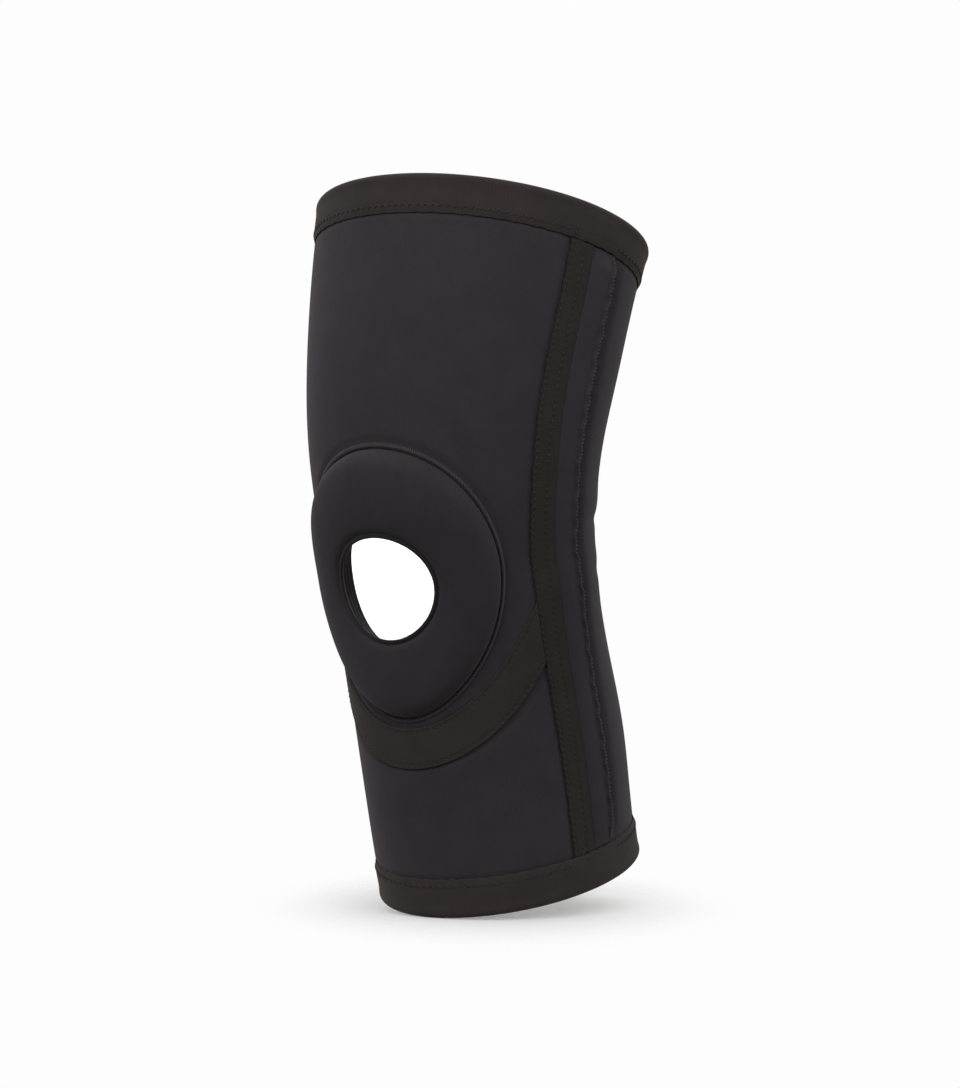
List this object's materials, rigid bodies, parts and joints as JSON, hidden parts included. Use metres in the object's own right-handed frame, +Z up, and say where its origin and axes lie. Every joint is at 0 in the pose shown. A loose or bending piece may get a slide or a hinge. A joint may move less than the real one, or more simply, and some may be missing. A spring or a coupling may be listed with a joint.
{
  "type": "knee sleeve",
  "caption": "Pre-bent neoprene knee support sleeve with a padded open kneecap ring, side stay pockets, woven seam tapes and bound hems.",
  "frame": {"origin": "on the leg's centre line, in the section through the middle of the kneecap", "axes": "+Z runs up the leg to the thigh, -Y points to the front, where the kneecap is, and +X to the wearer's left"},
  "size_m": [0.1558, 0.1739, 0.3267],
  "materials": {
    "neoprene": "matt jersey-faced neoprene",
    "pad_cover": "matt stretched jersey over a foam pad",
    "woven_tape": "matt ribbed woven tape"
  },
  "bodies": {
    "root": {"front_panel": "neoprene", "shin_panel": "neoprene", "back_panel": "neoprene", "stay_pocket_left": "neoprene", "stay_pocket_right": "neoprene", "patella_pad": "pad_cover", "patella_rim": "woven_tape", "side_tape_left": "woven_tape", "side_tape_right": "woven_tape", "shin_tape": "woven_tape", "thigh_binding": "woven_tape", "calf_binding": "woven_tape"}
  },
  "joints": []
}
